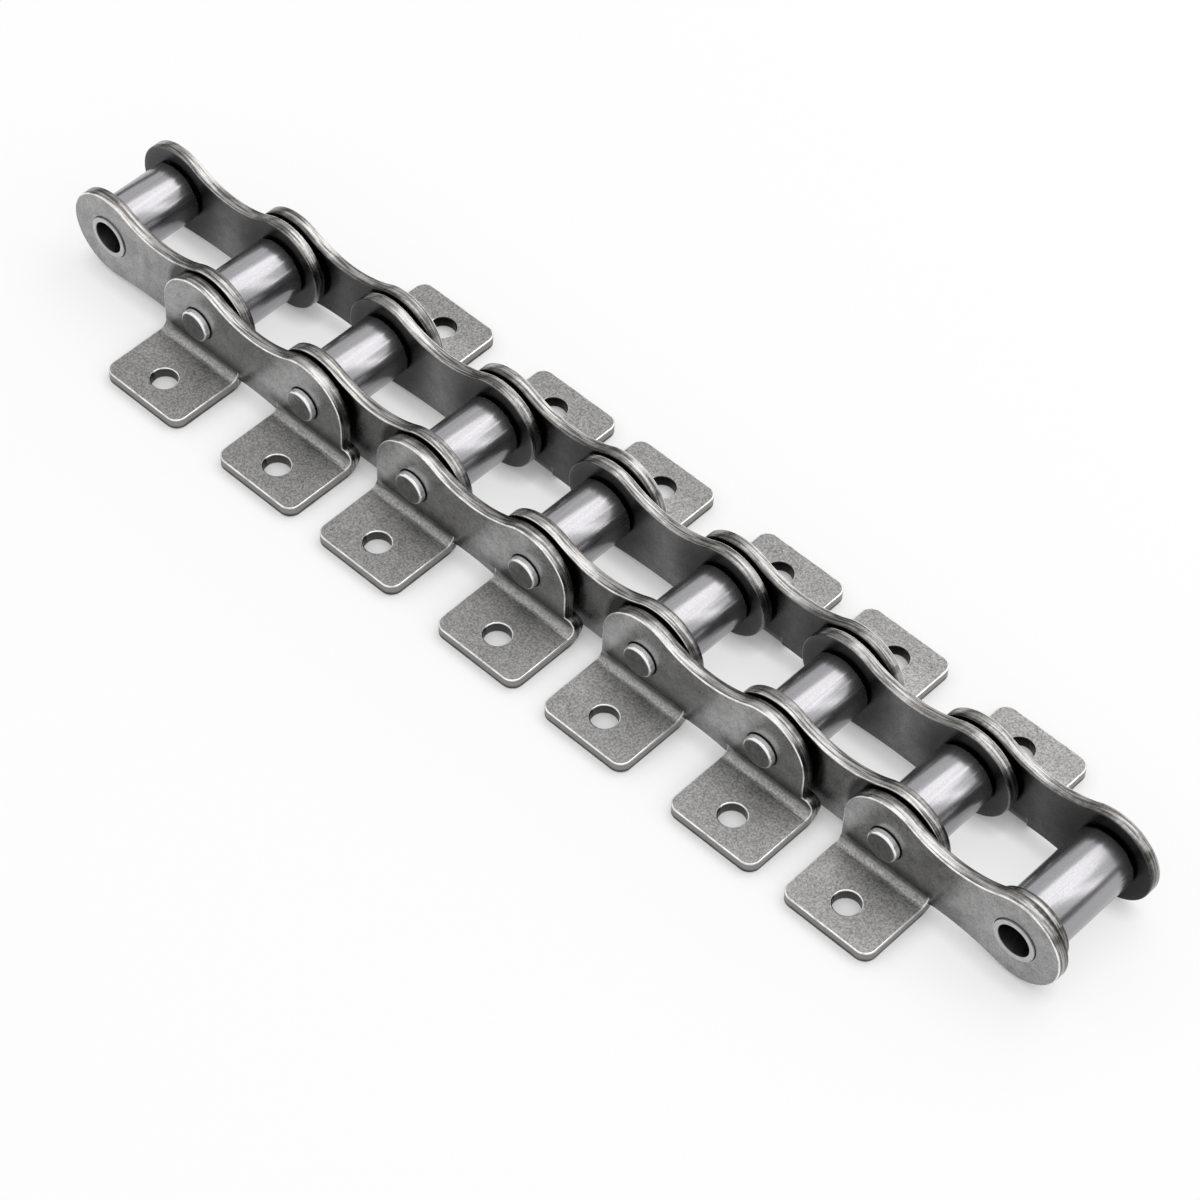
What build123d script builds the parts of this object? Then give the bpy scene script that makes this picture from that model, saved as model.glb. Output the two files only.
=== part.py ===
# Conveyor chain: an eight-link length of steel roller chain with bent attachment tabs.
# +X runs along the chain from station 1 to station 9, +Z is up, and the front side faces -Y.
# The origin is on the surface under the tabs, midway between the two end stations.
# All sizes are in millimetres.
import os
from math import atan2, degrees

from build123d import *

# Chain line
pitch = 41.4  # from one joint centre to the next
station_count = 9  # joint centres, one roller at each

# Link plates
plate_thickness = 3.6
lobe_radius = 14.0  # rounded plate end about each joint centre
top_waist = 8.9  # height of the plate's top edge above the chain line, midway
inner_bottom_waist = 12.6  # depth of an inner plate's bottom edge, midway
outer_bottom_waist = 11.0  # depth of an outer plate's bottom edge, midway
inner_width = 22.4  # clear width between the two inner plates
plate_gap = 1.2  # side gap between an inner plate and the outer plate beside it

# Attachment tabs, bent outwards from the outer plates
tab_drop = 11.2  # tab's top face below the chain line
tab_width = 29.0  # along the chain
tab_reach = 42.8  # tab's free edge from the chain's centre plane
tab_corner_radius = 3.5
tab_ear_radius = 3.2  # top corner of a bend that stands out past its plate's end
tab_bend_radius = 2.6  # on the hollow side of the bend
tab_bend_rise = 1.0  # straight stretch above the bend
tab_hole_radius = 3.8
tab_hole_reach = 33.6  # hole centre from the chain's centre plane

# Places of the tabs' middles and holes along the chain, from the joint centre each tab belongs to
front_first_tab_shift = 0.5  # flush with the plate's end
front_second_tab_shift = 3.5  # stands out past the plate's end
rear_first_tab_shift = 2.4
rear_second_tab_shift = -2.4
front_first_hole_shift = 0.5
front_second_hole_shift = 3.5
rear_first_hole_shift = 0.5
rear_second_hole_shift = -0.5

# Pins, bushings and rollers
pin_radius = 4.8
pin_projection = 2.2  # pin end beyond the outer plate
pin_chamfer = 0.5
pin_clearance = 0.08  # radial, pin in bushing
bushing_radius = 6.5
bushing_projection = 0.5  # bushing end beyond its plate
roller_radius = 9.2
roller_clearance = 0.08  # radial, roller on bushing
roller_side_gap = 0.7  # between a roller's end and the plate beside it

# Spacer ring on the last bushing
spacer_radius = 11.4
spacer_thickness = 3.0
spacer_side_gap = 0.4  # between the ring and what is on each side of it

# Sizes that follow
chain_line = tab_drop + plate_thickness  # joint centres above the surface
inner_plate_inside = inner_width / 2
inner_plate_outside = inner_plate_inside + plate_thickness
outer_plate_inside = inner_plate_outside + plate_gap
outer_plate_outside = outer_plate_inside + plate_thickness
bend_start = tab_drop - tab_bend_radius  # depth at which a plate starts to bend outwards
bushing_bore = pin_radius + pin_clearance
roller_bore = bushing_radius + roller_clearance

ear_least = 0.1  # a bend that stands out by less keeps its square corner
front = -1
rear = 1


def station_x(station):
    return (station - (station_count + 1) / 2) * pitch


def plate_plane(station, side, inside):
    # Drawing plane of a plate: X along the chain, Y up, extruded towards -Y
    start = -inside if side == front else inside + plate_thickness
    return Plane(origin=(station_x(station), start, chain_line), x_dir=(1, 0, 0), z_dir=(0, -1, 0))


def waist_arc(waist):
    # Radius and centre height of the arc that joins both lobes and passes at the waist
    radius = (pitch**2 / 4 + waist**2 - lobe_radius**2) / (2 * (lobe_radius - waist))
    return radius, waist + radius


def link_outline(bottom_waist):
    # Two round lobes joined by a hollow arc above and a shallower one below
    top_radius, top_height = waist_arc(top_waist)
    bottom_radius, bottom_depth = waist_arc(bottom_waist)
    top_angle = degrees(atan2(top_height, pitch / 2))
    bottom_angle = degrees(atan2(bottom_depth, pitch / 2))
    with BuildSketch() as outline:
        with BuildLine():
            CenterArc((0, 0), lobe_radius, top_angle, 360 - top_angle - bottom_angle)
            CenterArc((pitch / 2, -bottom_depth), bottom_radius, bottom_angle, 180 - 2 * bottom_angle)
            CenterArc((pitch, 0), lobe_radius, bottom_angle - 180, 360 - top_angle - bottom_angle)
            CenterArc((pitch / 2, top_height), top_radius, 180 + top_angle, 180 - 2 * top_angle)
        make_face()
    return outline.sketch


def finish(builder, name):
    builder.part.label = name
    export_step(builder.part, f"parts/{name}.step")


def inner_plate(station, side):
    # Plain link plate with a bushing pressed into each end
    outline = link_outline(inner_bottom_waist)
    with BuildPart() as plate:
        with BuildSketch(plate_plane(station, side, inner_plate_inside)):
            add(outline)
            with Locations((0, 0), (pitch, 0)):
                Circle(bushing_radius, mode=Mode.SUBTRACT)
        extrude(amount=plate_thickness)
    return plate


def attachment_tab(middle, hole_x, side, plate_ends):
    # Bend and flat tab with its hole, about the place of its middle along the chain
    left, right = middle - tab_width / 2, middle + tab_width / 2
    tab_top = chain_line - tab_drop
    root_top = chain_line - bend_start + tab_bend_rise
    inside = side * outer_plate_inside
    outside = side * outer_plate_outside
    free_edge = side * tab_reach
    with BuildPart() as tab:
        with BuildSketch(Plane.YZ.offset(left)) as section:
            with BuildLine():
                Polyline(
                    (inside, root_top), (outside, root_top), (outside, tab_top),
                    (free_edge, tab_top), (free_edge, 0), (inside, 0), close=True,
                )
            make_face()
            fillet(section.vertices().sort_by_distance((outside, tab_top))[0], tab_bend_radius)
            fillet(section.vertices().sort_by_distance((inside, 0))[0], tab_bend_radius + plate_thickness)
        extrude(amount=tab_width)
        free_end = tab.edges().filter_by(Axis.Z).group_by(Axis.Y)[0 if side == front else -1]
        fillet(free_end, tab_corner_radius)
        with Locations((hole_x, side * tab_hole_reach, tab_top)):
            Hole(tab_hole_radius, depth=plate_thickness)
        for end, stand_out, inward in (
            (left, plate_ends[0] - left, 1),
            (right, right - plate_ends[1], -1),
        ):
            if stand_out > ear_least:
                radius = min(tab_ear_radius, stand_out)
                with BuildSketch(Plane.XZ.offset(-inside)):
                    with Locations((end + inward * radius / 2, root_top - radius / 2)):
                        Rectangle(radius, radius)
                    with Locations((end + inward * radius, root_top - radius)):
                        Circle(radius, mode=Mode.SUBTRACT)
                extrude(amount=-side * (plate_thickness + tab_bend_radius), mode=Mode.SUBTRACT)
    return tab.part


def outer_plate(station, side, tab_places, hole_radii):
    # Link plate whose lower edge is bent out into tabs. Each tab is given as its joint's place along
    # the plate and the shifts of its middle and of its hole from there
    outline = link_outline(outer_bottom_waist)
    start = station_x(station)
    plate_ends = (start - lobe_radius, start + pitch + lobe_radius)
    tabs = [
        attachment_tab(start + joint + shift, start + joint + hole_shift, side, plate_ends)
        for joint, shift, hole_shift in tab_places
    ]
    with BuildPart() as plate:
        with BuildSketch(plate_plane(station, side, outer_plate_inside)):
            add(outline)
            for joint, shift, _ in tab_places:
                # Nothing of the lobe is left below the bend, and the plate's end drops straight into it
                left = joint + shift - tab_width / 2
                right = joint + shift + tab_width / 2
                web_left = max(left, -lobe_radius)
                web_right = min(right, pitch + lobe_radius)
                with Locations((left, -bend_start)):
                    Rectangle(tab_width, lobe_radius, align=(Align.MIN, Align.MAX), mode=Mode.SUBTRACT)
                with Locations((web_left, 0)):
                    Rectangle(web_right - web_left, bend_start, align=(Align.MIN, Align.MAX))
            for joint, radius in zip((0, pitch), hole_radii):
                with Locations((joint, 0)):
                    Circle(radius, mode=Mode.SUBTRACT)
        extrude(amount=plate_thickness)
        add(tabs)
    return plate


def tube(station, outer_radius, bore_radius, start, end):
    # Plain tube on a joint centre, from start to end across the chain
    plane = Plane(origin=(station_x(station), start, chain_line), x_dir=(1, 0, 0), z_dir=(0, 1, 0))
    with BuildPart() as body:
        with BuildSketch(plane):
            Circle(outer_radius)
            Circle(bore_radius, mode=Mode.SUBTRACT)
        extrude(amount=end - start)
    return body


def pin(station):
    # Solid pin with a bevelled end standing out of each outer plate
    half_length = outer_plate_outside + pin_projection
    plane = Plane(origin=(station_x(station), -half_length, chain_line), x_dir=(1, 0, 0), z_dir=(0, 1, 0))
    with BuildPart() as body:
        with BuildSketch(plane):
            Circle(pin_radius)
        extrude(amount=2 * half_length)
        chamfer(body.edges().filter_by(GeomType.CIRCLE), pin_chamfer)
    return body


os.makedirs("parts", exist_ok=True)

# Inner links: two plates on two bushings, at stations 1-2, 3-4, 5-6 and 7-8
for link, station in enumerate(range(1, station_count, 2), start=1):
    finish(inner_plate(station, front), f"inner_plate_front_{link}")
    finish(inner_plate(station, rear), f"inner_plate_rear_{link}")

# Outer links: two tabbed plates on two pins, at stations 2-3, 4-5, 6-7 and 8-9.
# The last one ends in a bushing, and has no tab there. The first rear plate has none at its first joint.
for link, station in enumerate(range(2, station_count, 2), start=1):
    is_first = station == 2
    is_last = station == station_count - 1
    hole_radii = (pin_radius, bushing_radius if is_last else pin_radius)
    front_tabs = [(0, front_first_tab_shift, front_first_hole_shift)]
    rear_tabs = [] if is_first else [(0, rear_first_tab_shift, rear_first_hole_shift)]
    if not is_last:
        front_tabs.append((pitch, front_second_tab_shift, front_second_hole_shift))
        rear_tabs.append((pitch, rear_second_tab_shift, rear_second_hole_shift))
    finish(outer_plate(station, front, front_tabs, hole_radii), f"outer_plate_front_{link}")
    finish(outer_plate(station, rear, rear_tabs, hole_radii), f"outer_plate_rear_{link}")

# Bushings and rollers of the inner links
bushing_end = inner_plate_outside + bushing_projection
roller_end = inner_plate_inside - roller_side_gap
for station in range(1, station_count):
    bushing = tube(station, bushing_radius, bushing_bore, -bushing_end, bushing_end)
    finish(bushing, f"bushing_{station}")
    roller = tube(station, roller_radius, roller_bore, -roller_end, roller_end)
    finish(roller, f"roller_{station}")

# The last station: a long bushing in the outer plates, a spacer ring at the front and a long roller
end_bushing_end = outer_plate_outside + bushing_projection
finish(
    tube(station_count, bushing_radius, bushing_bore, -end_bushing_end, end_bushing_end),
    f"bushing_{station_count}",
)
spacer_front = -(outer_plate_inside - spacer_side_gap)
spacer_back = spacer_front + spacer_thickness
finish(tube(station_count, spacer_radius, bushing_radius, spacer_front, spacer_back), "end_spacer")
end_roller_front = spacer_back + spacer_side_gap
end_roller_back = outer_plate_inside - roller_side_gap
finish(
    tube(station_count, roller_radius, roller_bore, end_roller_front, end_roller_back),
    f"roller_{station_count}",
)

# Pins of stations 2 to 8
for station in range(2, station_count):
    finish(pin(station), f"pin_{station - 1}")
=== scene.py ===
import math

import bpy
from mathutils import Matrix, Vector


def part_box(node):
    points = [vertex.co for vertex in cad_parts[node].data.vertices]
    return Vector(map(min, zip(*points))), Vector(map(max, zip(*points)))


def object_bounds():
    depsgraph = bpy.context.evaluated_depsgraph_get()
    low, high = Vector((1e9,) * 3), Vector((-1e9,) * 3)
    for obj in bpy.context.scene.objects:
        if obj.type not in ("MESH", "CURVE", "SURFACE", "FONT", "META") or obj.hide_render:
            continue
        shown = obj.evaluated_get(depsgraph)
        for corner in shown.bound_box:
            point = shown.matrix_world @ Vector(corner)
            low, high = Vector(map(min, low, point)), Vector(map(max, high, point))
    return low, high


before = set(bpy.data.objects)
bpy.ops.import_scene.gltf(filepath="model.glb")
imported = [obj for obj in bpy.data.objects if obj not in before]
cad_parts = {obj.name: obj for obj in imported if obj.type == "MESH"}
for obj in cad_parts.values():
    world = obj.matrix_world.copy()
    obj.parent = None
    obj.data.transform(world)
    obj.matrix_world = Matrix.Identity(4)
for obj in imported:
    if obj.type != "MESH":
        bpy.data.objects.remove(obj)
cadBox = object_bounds()
mm = 0.001


# long lens, looking down on the row from the front right
view = {
    "place": (0.4653, -0.5172, 0.8395),
    "lookAt": (0.0126, -0.0042, 0.0),
    "lens": 123.3,
    "sensorWidth": 36.0,
    "roll": 2.58,  # degrees
    "nearest": 0.01,
    "farthest": 50.0,
}

cameraData = bpy.data.cameras.new("chainView")
cameraData.lens = view["lens"]
cameraData.sensor_width = view["sensorWidth"]
cameraData.clip_start = view["nearest"]
cameraData.clip_end = view["farthest"]
camera = bpy.data.objects.new("chainView", cameraData)
bpy.context.scene.collection.objects.link(camera)
sight = Vector(view["lookAt"]) - Vector(view["place"])
roll = Matrix.Rotation(math.radians(view["roll"]), 3, "Z")
turn = sight.to_track_quat("-Z", "Y").to_matrix() @ roll
camera.matrix_world = Matrix.Translation(view["place"]) @ turn.to_4x4()
bpy.context.scene.camera = camera
bpy.context.scene.view_settings.view_transform = "Standard"
print("view: camera placed")


# small helpers for shader trees
def newMaterial(name):
    material = bpy.data.materials.new(name)
    material.use_nodes = True
    tree = material.node_tree
    tree.nodes.clear()
    return material, tree


def addNode(tree, kind, inputs=None, **settings):
    node = tree.nodes.new(kind)
    for key, value in settings.items():
        setattr(node, key, value)
    for key, value in (inputs or {}).items():
        if isinstance(value, bpy.types.NodeSocket):
            tree.links.new(value, node.inputs[key])
        else:
            node.inputs[key].default_value = value
    return node


def surfacePlace(tree):
    # coordinates, their three parts, and the three parts of the direction the surface faces
    place = addNode(tree, "ShaderNodeTexCoord")
    coords = place.outputs["Object"]
    xyz = addNode(tree, "ShaderNodeSeparateXYZ", {0: coords}).outputs
    normal = addNode(tree, "ShaderNodeSeparateXYZ", {0: place.outputs["Normal"]}).outputs
    return coords, xyz, normal


def calc(tree, operation, a, b=0.0):
    node = addNode(tree, "ShaderNodeMath", {0: a, 1: b}, operation=operation)
    return node.outputs[0]


def times(tree, first, *others):
    for other in others:
        first = calc(tree, "MULTIPLY", first, other)
    return first


def shares(tree, *parts):
    # adds up patterns, each given after its share
    total = times(tree, parts[0][1], parts[0][0])
    for share, pattern in parts[1:]:
        total = calc(tree, "ADD", total, times(tree, pattern, share))
    return total


def allBut(tree, mask):
    return calc(tree, "SUBTRACT", 1, mask)


def fromTo(tree, value, low, high, start, end, smooth=False):
    kind = "SMOOTHSTEP" if smooth else "LINEAR"
    node = addNode(tree, "ShaderNodeMapRange", {0: value, 1: low, 2: high, 3: start, 4: end},
                   interpolation_type=kind)
    return node.outputs[0]


def fromEdge(tree, value, edge, reach, start, end, smooth=False):
    # the same, with the reach given from an edge of the piece
    return fromTo(tree, value, edge + reach[0], edge + reach[1], start, end, smooth)


def ring(tree, radius, inner, outer, softness):
    # 1 between two radii, with soft borders
    start = fromTo(tree, radius, inner - softness, inner, 0, 1)
    end = fromTo(tree, radius, outer, outer + softness, 1, 0)
    return times(tree, start, end)


def ringPast(tree, radius, edge, reach):
    return ring(tree, radius, edge + reach[0], edge + reach[1], reach[2])


def patches(tree, coords, scale, detail, roughness):
    node = addNode(tree, "ShaderNodeTexNoise",
                   {"Vector": coords, "Scale": scale, "Detail": detail, "Roughness": roughness})
    return node.outputs[0]


def streaks(tree, coords, stretch, detail):
    stretched = addNode(tree, "ShaderNodeVectorMath", {0: coords, 1: stretch}, operation="MULTIPLY")
    return patches(tree, stretched.outputs[0], 1.0, detail, 0.55)


def grey(value, warmth=0.0):
    return (value * (1 + warmth), value, value * (1 - warmth), 1.0)


def blendColour(tree, factor, a, b):
    node = addNode(tree, "ShaderNodeMix", {0: factor, 6: a, 7: b}, data_type="RGBA")
    return node.outputs[2]


def toned(tree, pattern, reach, dark, light):
    # dark where the pattern is low and light where it is high
    return blendColour(tree, fromTo(tree, pattern, *reach, 0, 1), dark, light)


def scaleColour(tree, colour, gain):
    node = addNode(tree, "ShaderNodeVectorMath", {0: colour, 3: gain}, operation="SCALE")
    return node.outputs[0]


def darken(tree, colour, mask, amount):
    # takes a colour down to 1 - amount of itself where the mask is 1
    return scaleColour(tree, colour, fromTo(tree, mask, 0, 1, 1, 1 - amount))


def steelShader(tree, colour, roughness, height, strength, depth, metallic=1.0):
    bump = addNode(tree, "ShaderNodeBump", {"Strength": strength, "Distance": depth, "Height": height})
    shader = addNode(tree, "ShaderNodeBsdfPrincipled",
                     {"Base Color": colour, "Metallic": metallic, "Roughness": roughness,
                      "Normal": bump.outputs[0]})
    addNode(tree, "ShaderNodeOutputMaterial", {0: shader.outputs[0]})


# where the pieces lie, from their boxes
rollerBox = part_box("roller_5")
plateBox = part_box("inner_plate_rear_1")
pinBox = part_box("pin_1")
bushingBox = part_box("bushing_1")
jointHeight = (rollerBox[0][2] + rollerBox[1][2]) / 2
chainRow = {
    "pitch": (rollerBox[0][0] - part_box("roller_1")[0][0]) / 4,
    "jointHeight": jointHeight,
    "outerPlateInside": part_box("outer_plate_rear_1")[0][1],
    "plateThickness": plateBox[1][1] - plateBox[0][1],
    "lobeRadius": jointHeight - plateBox[0][2],
    "pinRadius": (pinBox[1][0] - pinBox[0][0]) / 2,
    "bushingRadius": (bushingBox[1][0] - bushingBox[0][0]) / 2,
    "rollerRadius": (rollerBox[1][0] - rollerBox[0][0]) / 2,
}
chainRow["outerPlateOutside"] = chainRow["outerPlateInside"] + chainRow["plateThickness"]


def pastJoint(tree, xyz):
    # signed distance along the row from the nearest joint
    turns = calc(tree, "DIVIDE", xyz[0], chainRow["pitch"])
    part = calc(tree, "SUBTRACT", turns, calc(tree, "ROUND", turns))
    return times(tree, part, chainRow["pitch"])


def besideJoint(tree, xyz):
    # distance from the nearest joint's axis
    along = pastJoint(tree, xyz)
    up = calc(tree, "SUBTRACT", xyz[2], chainRow["jointHeight"])
    return calc(tree, "SQRT", calc(tree, "ADD", times(tree, along, along), times(tree, up, up)))


# rolled and bent plate
plateLook = {
    "face": grey(0.15, 0.01),
    "faceLight": grey(0.31),
    "tabDark": grey(0.15, 0.02),
    "tabLight": grey(0.38, 0.012),
    "cut": grey(0.10, 0.035),  # blanked edges
    "cutLight": grey(0.42, 0.02),
    "worn": grey(0.92, 0.005),  # rounded edges rubbed bright
    "shear": grey(0.26, 0.02),  # upper part of a tab's edge
    "tornAndShaded": grey(0.07, 0.02),  # lower part, where the steel tore, also painted shade near the floor
    # painted shade on the walls of the tabs' holes
    "holeShade": grey(0.08, 0.02),
    "faceRoughness": 0.29,
    "tabRoughness": 0.40,
    "wornPolish": 0.06,  # worn edges are smoother by this

    # scale, detail and roughness of the patterns
    "mottle": (1600, 4, 0.62),
    "grit": (3300, 2, 0.6),
    "cloud": (300, 3, 0.55),
    "broad": (42, 2, 0.5),
    "vein": (720, 2, 0.5),
    "cutLines": (90, 1650, 90),
    "skinReach": (0.40, 0.60),  # from the darkest to the lightest tone of the skin
    "cutReach": (0.42, 0.58),
    "chippedReach": (0.38, 0.56),
    "veinWidth": 0.035,
    "bumpStrength": 0.5,
    "bumpDepth": 0.05 * mm,
    "sandDepth": (0.35, 1.0),  # share of the bump, on the faces and on the tabs

    # where the tabs and the edges are
    "tabTop": 6.2 * mm,  # the tabs and their bends lie below this
    "tabShift": 1.8 * mm,  # their middles are about this far past the joints
    "tabHalf": (16 * mm, 13.5 * mm),
    "holeHalf": (8 * mm, 7 * mm),
    "holeEnd": (39 * mm, 38 * mm),  # the tabs' holes end before this, from the middle
    "tornHeight": (1.3 * mm, 1.9 * mm),
    "tornRagged": 0.8 * mm,
    "bendReach": (25 * mm, 37 * mm),
    "besideBendLight": 1.38,  # painted light: the tabs are lighter beside their bends
    "plateEdgeTurn": (0.75, 0.35),  # a surface that turns past this is an edge
    "tabEdgeTurn": (0.6, 0.2),
    "firstJoint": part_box("roller_1")[0][0] + 30 * mm,  # before this nothing sweeps over the plates
    "lastTab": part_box("roller_9")[0][0] - 12 * mm,  # after this the plates have no tabs
    "firstRearTab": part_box("roller_2")[0][0] + 30 * mm,

    # rings of painted shade: inner and outer border past the edge that they surround, and softness
    "pinRingReach": (-1 * mm, 0.5 * mm, 1.4 * mm),
    "pinFootReach": (-1 * mm, 0.35 * mm, 0.15 * mm),
    "bushingFootReach": (-1 * mm, 0.15 * mm, 0.2 * mm),
    "sweptPast": 2.0 * mm,
    "sweptSoft": 1.7 * mm,
    "rollerRingReach": (0.8 * mm, 13 * mm),
    "cornerStart": (-0.2 * mm, 0.1 * mm),  # above the bends
    "cornerEnd": (0.3 * mm, 4.5 * mm),
    "lowFaceReach": (-9 * mm, -1 * mm),  # below the joints

    # how much they take off
    "inside": 0.50,  # painted shade on the faces turned to the middle, on the inner plates
    "insideFar": 0.78,  # and on the outer plates
    "pinShade": 0.12,  # painted shade round the pins
    "pinFootShade": 0.94,  # and painted shade in the corner at their foot
    "sweptShade": 0.88,  # painted shade where the next plate's end sweeps
    "rollerEndShade": 0.85,  # painted shade round the rollers' ends
    "bendShade": 0.52,  # painted shade in the corner above a bend
    "veins": 0.26,
    "lowShade": 0.42,  # painted shade on the lower part of the outer faces
    "between": 0.25,  # the inner plates between them
}


def plateSteel(name, worn):
    look, row = plateLook, chainRow
    material, tree = newMaterial(name)
    coords, xyz, normal = surfacePlace(tree)
    plateIn, plateOut = row["outerPlateInside"], row["outerPlateOutside"]
    across = calc(tree, "ABSOLUTE", xyz[1])
    radius = besideJoint(tree, xyz)
    besideTab = calc(tree, "ABSOLUTE", calc(tree, "SUBTRACT", pastJoint(tree, xyz), look["tabShift"]))

    # where the piece is a tab, where a blanked edge, and where it faces the middle of the row
    out = fromEdge(tree, across, plateOut, (0.1 * mm, 1.6 * mm), 0, 1)
    low = fromEdge(tree, xyz[2], look["tabTop"], (-1.5 * mm, 1.5 * mm), 1, 0)
    tab = times(tree, out, low)
    offTab = allBut(tree, tab)
    plateEdge = fromTo(tree, calc(tree, "ABSOLUTE", normal[1]), *look["plateEdgeTurn"], 0, 1)
    tabEdge = fromTo(tree, calc(tree, "ABSOLUTE", normal[2]), *look["tabEdgeTurn"], 0, 1)
    tabEdge = times(tree, tabEdge, tab)
    blanked = times(tree, plateEdge, offTab)
    inward = fromTo(tree, times(tree, xyz[1], normal[1]), 0, -4 * mm, 0, 1)
    outward = times(tree, allBut(tree, inward), allBut(tree, plateEdge))
    onOuter = fromEdge(tree, across, plateIn, (-0.9 * mm, -0.3 * mm), 0, 1)
    onInner = allBut(tree, onOuter)
    noTab = calc(tree, "GREATER_THAN", xyz[0], look["lastTab"])

    # mottled skin with fine sand, soft clouds, thin veins, and lines along the blanked edges
    mottle = patches(tree, coords, *look["mottle"])
    grit = patches(tree, coords, *look["grit"])
    cloud = patches(tree, coords, *look["cloud"])
    broad = patches(tree, coords, *look["broad"])
    vein = calc(tree, "ABSOLUTE", calc(tree, "SUBTRACT", patches(tree, coords, *look["vein"]), 0.5))
    vein = fromTo(tree, vein, 0, look["veinWidth"], 1, 0)
    lines = streaks(tree, coords, look["cutLines"], 4)
    grain = shares(tree, (0.65, mottle), (0.35, grit))
    faceMix = shares(tree, (0.5, grain), (0.25, cloud), (0.25, broad))
    face = toned(tree, faceMix, look["skinReach"], look["face"], look["faceLight"])
    tabMix = shares(tree, (0.9, grain), (0.1, cloud))
    tabTone = toned(tree, tabMix, look["skinReach"], look["tabDark"], look["tabLight"])
    colour = blendColour(tree, tab, face, tabTone)
    # painted light: the tabs are made lighter beside their bends
    colour = scaleColour(tree, colour, fromTo(tree, across, *look["bendReach"], look["besideBendLight"], 1))
    colour = darken(tree, colour, times(tree, vein, cloud), look["veins"])
    cutMix = shares(tree, (0.85, lines), (0.15, mottle))
    cut = toned(tree, cutMix, look["cutReach"], look["cut"], look["cutLight"])
    colour = blendColour(tree, blanked, colour, cut)

    # the tabs' edges, sheared above and torn below with painted shade on the lower band, and painted shade
    # on the walls of their holes
    ragged = calc(tree, "ADD", xyz[2], times(tree, cloud, look["tornRagged"]))
    wall = toned(tree, ragged, look["tornHeight"], look["tornAndShaded"], look["shear"])
    hole = times(tree, fromTo(tree, across, *look["holeEnd"], 0, 1),
                 fromTo(tree, besideTab, *look["holeHalf"], 0, 1))
    wall = blendColour(tree, hole, wall, look["holeShade"])
    colour = blendColour(tree, tabEdge, colour, wall)
    if worn:
        chipped = shares(tree, (0.6, cloud), (0.4, grain))
        chipped = fromTo(tree, chipped, *look["chippedReach"], 0.5, 1)
        colour = blendColour(tree, chipped, colour, look["worn"])

    # painted shade on the faces turned to the middle, and painted shade round pins and bushings and in the
    # corner at their foot
    unevenShade = fromTo(tree, cloud, 0.35, 0.65, 0.85, 1)
    shade = fromTo(tree, onOuter, 0, 1, look["inside"], look["insideFar"])
    colour = darken(tree, colour, times(tree, inward, shade), 1.0)
    pins = ringPast(tree, radius, row["pinRadius"], look["pinRingReach"])
    colour = darken(tree, colour, times(tree, pins, unevenShade, onOuter, outward), look["pinShade"])
    onBushing = calc(tree, "MAXIMUM", onInner, noTab)
    pinFoot = ringPast(tree, radius, row["pinRadius"], look["pinFootReach"])
    bushingFoot = ringPast(tree, radius, row["bushingRadius"], look["bushingFootReach"])
    footShade = calc(tree, "ADD", times(tree, allBut(tree, onBushing), pinFoot),
                  times(tree, onBushing, bushingFoot))
    colour = darken(tree, colour, times(tree, footShade, outward), look["pinFootShade"])

    # painted shade where the next plate's end sweeps and round the rollers' ends; the inner plates between
    # the outer ones are darker
    swept = ring(tree, radius, 0, row["lobeRadius"] + look["sweptPast"], look["sweptSoft"])
    covered = fromEdge(tree, xyz[0], look["firstJoint"], (-8 * mm, 4 * mm), 0, 1)
    colour = darken(tree, colour, times(tree, swept, unevenShade, onInner, outward, covered), look["sweptShade"])
    colour = darken(tree, colour, times(tree, covered, onInner, outward), look["between"])
    shadeNearRoller = fromEdge(tree, radius, row["rollerRadius"], look["rollerRingReach"], 1, 0, smooth=True)
    colour = darken(tree, colour, times(tree, shadeNearRoller, inward), look["rollerEndShade"])

    # painted shade in the corner above each bend, and lower on the outer faces
    aboveBend = fromEdge(tree, xyz[2], look["tabTop"], look["cornerStart"], 0, 1)
    fading = fromEdge(tree, xyz[2], look["tabTop"], look["cornerEnd"], 1, 0, smooth=True)
    alongTab = fromTo(tree, besideTab, *look["tabHalf"], 0, 1)
    rearStart = times(tree, calc(tree, "LESS_THAN", xyz[0], look["firstRearTab"]),
                      calc(tree, "GREATER_THAN", xyz[1], 0))
    overTab = times(tree, alongTab, allBut(tree, calc(tree, "MAXIMUM", noTab, rearStart)))
    corner = times(tree, aboveBend, fading, overTab, onOuter, outward)
    colour = darken(tree, colour, corner, look["bendShade"])
    lowShade = fromEdge(tree, xyz[2], row["jointHeight"], look["lowFaceReach"], 1, 0, smooth=True)
    beforeEnd = fromEdge(tree, xyz[0], look["lastTab"], (2 * mm, 14 * mm), 1, 0)
    lowShade = times(tree, lowShade, beforeEnd, onOuter, outward, offTab)
    colour = darken(tree, colour, lowShade, look["lowShade"])

    base = fromTo(tree, tab, 0, 1, look["faceRoughness"], look["tabRoughness"])
    roughness = calc(tree, "ADD", base, fromTo(tree, grain, 0.3, 0.7, -0.05, 0.06))
    if worn:
        roughness = calc(tree, "SUBTRACT", roughness, look["wornPolish"])
    sandDepth = fromTo(tree, tab, 0, 1, *look["sandDepth"])
    height = calc(tree, "ADD", times(tree, grain, sandDepth), times(tree, lines, blanked))
    steelShader(tree, colour, roughness, height, look["bumpStrength"], look["bumpDepth"])
    return material


rollerLook = {
    "dark": (0.325, 0.320, 0.329, 1.0),
    "light": (0.378, 0.371, 0.383, 1.0),
    "roughness": 0.235,
    "metallic": 0.90,  # a thin dull film is left on the steel
    "drawnLines": (1000, 9, 1000),  # along the roller
    "turnedLines": (12, 2600, 12),  # round it, faint
    "sand": (1800, 3, 0.6),
    "bumpStrength": 0.05,
    "bumpDepth": 0.03 * mm,
}


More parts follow.
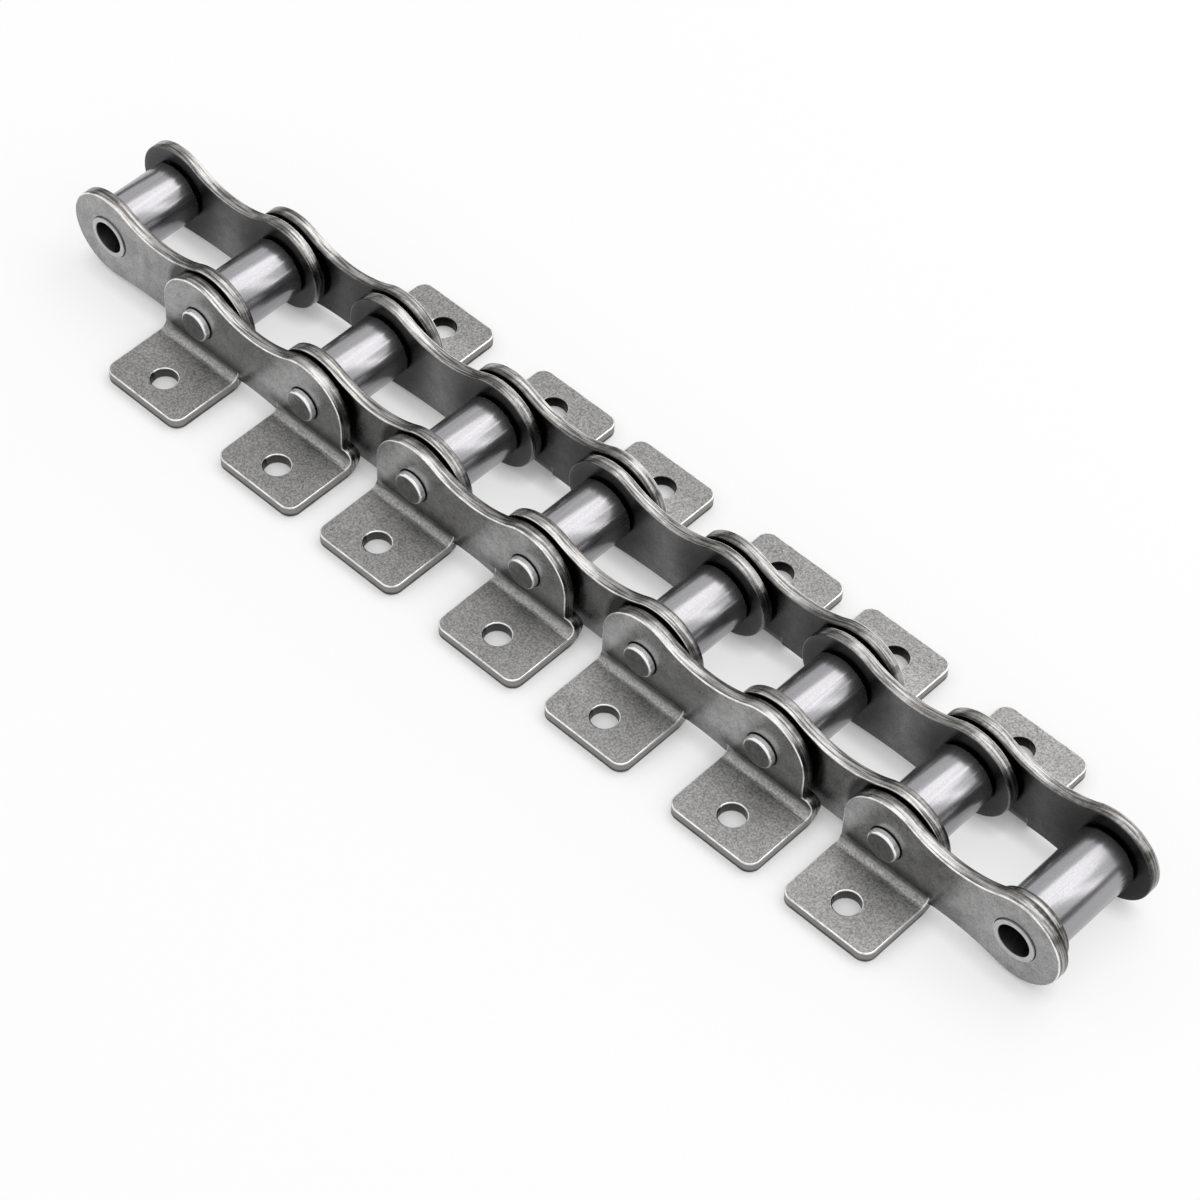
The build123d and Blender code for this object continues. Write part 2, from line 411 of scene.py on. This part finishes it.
def rollerSteel():
    look = rollerLook
    material, tree = newMaterial("rollerSteel")
    coords = addNode(tree, "ShaderNodeTexCoord").outputs["Object"]
    drawn = streaks(tree, coords, look["drawnLines"], 2)
    turned = streaks(tree, coords, look["turnedLines"], 3)
    sand = patches(tree, coords, *look["sand"])
    colour = toned(tree, shares(tree, (0.5, drawn), (0.5, sand)), (0.38, 0.62), look["dark"], look["light"])
    roughness = fromTo(tree, drawn, 0.3, 0.7, look["roughness"] + 0.02, look["roughness"] - 0.02)
    height = shares(tree, (0.7, sand), (0.3, turned))
    steelShader(tree, colour, roughness, height, look["bumpStrength"], look["bumpDepth"], look["metallic"])
    return material


pinLook = {
    "face": grey(0.15, 0.01),
    "faceLight": grey(0.23),
    "side": grey(0.92),
    "rootShade": grey(0.03),  # painted shade on the side of a pin, in the corner at its root
    "roughness": 0.28,
}

bushingLook = {
    "face": grey(0.44),
    "faceLight": grey(0.56),
    "side": grey(0.25),
    "boreShade": grey(0.12),  # painted shade on the wall of an open bore
    "roughness": 0.30,
}

# the same on pins and bushings
turnedLook = {
    "cloud": (700, 4, 0.65),
    "turnedLines": (20, 2200, 20),
    "toneReach": (0.36, 0.64),
    "faceTurn": (0.80, 0.97),  # a surface that faces along the pin this much is its end
    "boreTurn": (0.35, 0.6),
    "boreReach": (0.15 * mm, 0.35 * mm),  # past the pin's radius
    "footReach": (0.3 * mm, 0.5 * mm),  # past the outer plate
    "bumpStrength": 0.35,
    "bumpDepth": 0.04 * mm,
}


def turnedSteel(name, look):
    both, row = turnedLook, chainRow
    material, tree = newMaterial(name)
    coords, xyz, normal = surfacePlace(tree)
    sideways = calc(tree, "ABSOLUTE", normal[1])
    cloud = patches(tree, coords, *both["cloud"])
    turned = streaks(tree, coords, both["turnedLines"], 3)
    end = toned(tree, cloud, both["toneReach"], look["face"], look["faceLight"])
    side = look["side"]
    # painted shade: a pin's side goes dark near its root at the plate
    if "rootShade" in look:
        across = calc(tree, "ABSOLUTE", xyz[1])
        clear = fromEdge(tree, across, row["outerPlateOutside"], both["footReach"], 0, 1)
        side = blendColour(tree, clear, look["rootShade"], side)
    colour = blendColour(tree, fromTo(tree, sideways, *both["faceTurn"], 0, 1), side, end)
    # painted shade on the wall of an open bore
    if "boreShade" in look:
        boreShade = fromEdge(tree, besideJoint(tree, xyz), row["pinRadius"], both["boreReach"], 1, 0)
        boreShade = times(tree, boreShade, fromTo(tree, sideways, *both["boreTurn"], 1, 0))
        colour = blendColour(tree, boreShade, colour, look["boreShade"])
    roughness = fromTo(tree, cloud, 0.3, 0.7, look["roughness"] - 0.04, look["roughness"] + 0.08)
    height = calc(tree, "ADD", cloud, turned)
    steelShader(tree, colour, roughness, height, both["bumpStrength"], both["bumpDepth"])
    return material


plainPlate = plateSteel("plateSteel", worn=False)
wornPlate = plateSteel("plateSteelWorn", worn=True)
rollerMaterial = rollerSteel()
pinMaterial = turnedSteel("pinSteel", pinLook)
bushingMaterial = turnedSteel("bushingSteel", bushingLook)
print("materials: 5 steels made")


# edge rounding by kind of piece
edges = {
    "plate": 0.32 * mm,
    "roller": 0.40 * mm,
    "pin": 0.25 * mm,
    "bushing": 0.25 * mm,
    "spacer": 0.30 * mm,
    "steps": 3,
    "sharpFrom": 32,  # degrees between two faces
    "joinWithin": 0.002 * mm,
}


def convexWeights(angle):
    # marks the outward sharp edges for the bevel, so that the hollow of a bend keeps its own fillet
    group = bpy.data.node_groups.new("convexEdges", "GeometryNodeTree")
    group.interface.new_socket("Geometry", in_out="INPUT", socket_type="NodeSocketGeometry")
    group.interface.new_socket("Geometry", in_out="OUTPUT", socket_type="NodeSocketGeometry")
    given = group.nodes.new("NodeGroupInput")
    edgeAngle = group.nodes.new("GeometryNodeInputMeshEdgeAngle")
    sharp = group.nodes.new("FunctionNodeCompare")
    sharp.operation = "GREATER_THAN"
    sharp.inputs[1].default_value = math.radians(angle)
    store = group.nodes.new("GeometryNodeStoreNamedAttribute")
    store.data_type = "FLOAT"
    store.domain = "EDGE"
    store.inputs["Name"].default_value = "bevel_weight_edge"
    made = group.nodes.new("NodeGroupOutput")
    group.links.new(edgeAngle.outputs["Signed Angle"], sharp.inputs[0])
    group.links.new(given.outputs[0], store.inputs["Geometry"])
    group.links.new(sharp.outputs[0], store.inputs["Value"])
    group.links.new(store.outputs[0], made.inputs[0])
    return group


convexEdges = convexWeights(edges["sharpFrom"])


def joinPoints(piece, name):
    weld = piece.modifiers.new(name, "WELD")
    weld.merge_threshold = edges["joinWithin"]


def soften(piece, width, slotIndex=-1):
    joinPoints(piece, "weld")
    weights = piece.modifiers.new("weights", "NODES")
    weights.node_group = convexEdges
    bevel = piece.modifiers.new("edges", "BEVEL")
    bevel.width = width
    bevel.segments = edges["steps"]
    bevel.limit_method = "WEIGHT"
    bevel.use_clamp_overlap = False
    bevel.loop_slide = False  # sliding would push single corners past the piece
    bevel.harden_normals = True
    bevel.material = slotIndex
    joinPoints(piece, "joined")


def dress(piece, *materials):
    piece.data.materials.clear()
    for material in materials:
        piece.data.materials.append(material)


for name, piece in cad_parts.items():
    if "_plate_" in name:
        dress(piece, plainPlate, wornPlate)
        soften(piece, edges["plate"], slotIndex=1)
    elif name == "end_spacer":
        dress(piece, plainPlate, wornPlate)
        soften(piece, edges["spacer"], slotIndex=1)
    elif name.startswith("roller_"):
        dress(piece, rollerMaterial)
        soften(piece, edges["roller"])
    elif name.startswith("pin_"):
        dress(piece, pinMaterial)
        soften(piece, edges["pin"])
    else:
        dress(piece, bushingMaterial)
        soften(piece, edges["bushing"])
print("pieces: dressed")


# white floor that keeps its shadows, white surroundings, two soft panels and two grey side cards
studio = {
    "floorColour": grey(0.96),
    "floorLift": 0.67,  # share of plain white in what is seen of the floor
    "contactLift": 0.20,  # and of that right beside the steel
    "contactReach": 0.006,
    "contactOpen": (0.55, 0.97),  # openness beside the steel and clear of it
    "fadeFrom": 0.35,
    "fadeTo": 0.95,
    "floorSize": 12.0,
    "floorGap": 0.0002,
    "skyForDiffuse": 0.74,
    "overhead": {"place": (0.27, 1.06, 2.2), "size": (2.1, 1.8), "strength": 1.65},
    "strip": {"place": (1.70, 1.12, 1.34), "size": (0.30, 1.8), "strength": 2.3},
    "cardShade": grey(0.12),
    "cardAway": 4.2,
    "cardHeight": 1.5,
    "cardFrom": -1.5,
    "cardTo": 4.6,
}


def seenDirectly(tree):
    path = addNode(tree, "ShaderNodeLightPath")
    seen = calc(tree, "MAXIMUM", path.outputs["Is Camera Ray"], path.outputs["Is Glossy Ray"])
    return calc(tree, "MAXIMUM", seen, path.outputs["Is Transmission Ray"])


def addSheet(name, corners, material):
    mesh = bpy.data.meshes.new(name)
    mesh.from_pydata(corners, [], [(0, 1, 2, 3)])
    mesh.materials.append(material)
    sheet = bpy.data.objects.new(name, mesh)
    bpy.context.scene.collection.objects.link(sheet)
    return sheet


world = bpy.data.worlds.new("studio")
world.use_nodes = True
bpy.context.scene.world = world
tree = world.node_tree
tree.nodes.clear()
strength = fromTo(tree, seenDirectly(tree), 0, 1, studio["skyForDiffuse"], 1.0)
sky = addNode(tree, "ShaderNodeBackground", {"Color": grey(1.0), "Strength": strength})
addNode(tree, "ShaderNodeOutputWorld", {0: sky.outputs[0]})

# the floor fades into the white surroundings, and stays dark only close to the steel
floorMaterial, tree = newMaterial("floorWhite")
where = addNode(tree, "ShaderNodeTexCoord").outputs["Object"]
distance = addNode(tree, "ShaderNodeVectorMath", {0: where}, operation="LENGTH").outputs["Value"]
nearby = addNode(tree, "ShaderNodeAmbientOcclusion", {"Distance": studio["contactReach"]}, samples=3)
lift = fromTo(tree, nearby.outputs["AO"], *studio["contactOpen"],
              studio["contactLift"], studio["floorLift"])
far = fromTo(tree, distance, studio["fadeFrom"], studio["fadeTo"], lift, 1, smooth=True)
far = times(tree, far, seenDirectly(tree))
matt = addNode(tree, "ShaderNodeBsdfDiffuse", {"Color": studio["floorColour"]})
white = addNode(tree, "ShaderNodeEmission", {"Color": grey(1.0), "Strength": 1.0})
both = addNode(tree, "ShaderNodeMixShader", {0: far, 1: matt.outputs[0], 2: white.outputs[0]})
addNode(tree, "ShaderNodeOutputMaterial", {0: both.outputs[0]})
half = studio["floorSize"] / 2
floorCorners = [(-half, -half, 0), (half, -half, 0), (half, half, 0), (-half, half, 0)]
floor = addSheet("floor", floorCorners, floorMaterial)
floor.location.z = cadBox[0][2] - studio["floorGap"]

# the cards are seen only in the steel
cardMaterial, tree = newMaterial("cardGrey")
shade = addNode(tree, "ShaderNodeEmission", {"Color": studio["cardShade"], "Strength": 1.0})
addNode(tree, "ShaderNodeOutputMaterial", {0: shade.outputs[0]})
for name, x in (("leftCard", -studio["cardAway"]), ("rightCard", studio["cardAway"])):
    start, end, height = studio["cardFrom"], studio["cardTo"], studio["cardHeight"]
    card = addSheet(name, [(x, start, 0), (x, end, 0), (x, end, height), (x, start, height)], cardMaterial)
    card.visible_camera = False
    card.visible_diffuse = False
    card.visible_shadow = False
    card.visible_transmission = False


def addPanel(name, look):
    # a soft panel that faces the middle of the row
    data = bpy.data.lights.new(name, "AREA")
    data.shape = "RECTANGLE"
    data.size, data.size_y = look["size"]
    data.energy = look["strength"] * math.pi * data.size * data.size_y
    panel = bpy.data.objects.new(name, data)
    facing = (-Vector(look["place"])).to_track_quat("-Z", "Y").to_matrix()
    panel.matrix_world = Matrix.Translation(look["place"]) @ facing.to_4x4()
    bpy.context.scene.collection.objects.link(panel)


addPanel("overheadPanel", studio["overhead"])
addPanel("stripPanel", studio["strip"])
print("studio: floor, sky, panels and cards placed")
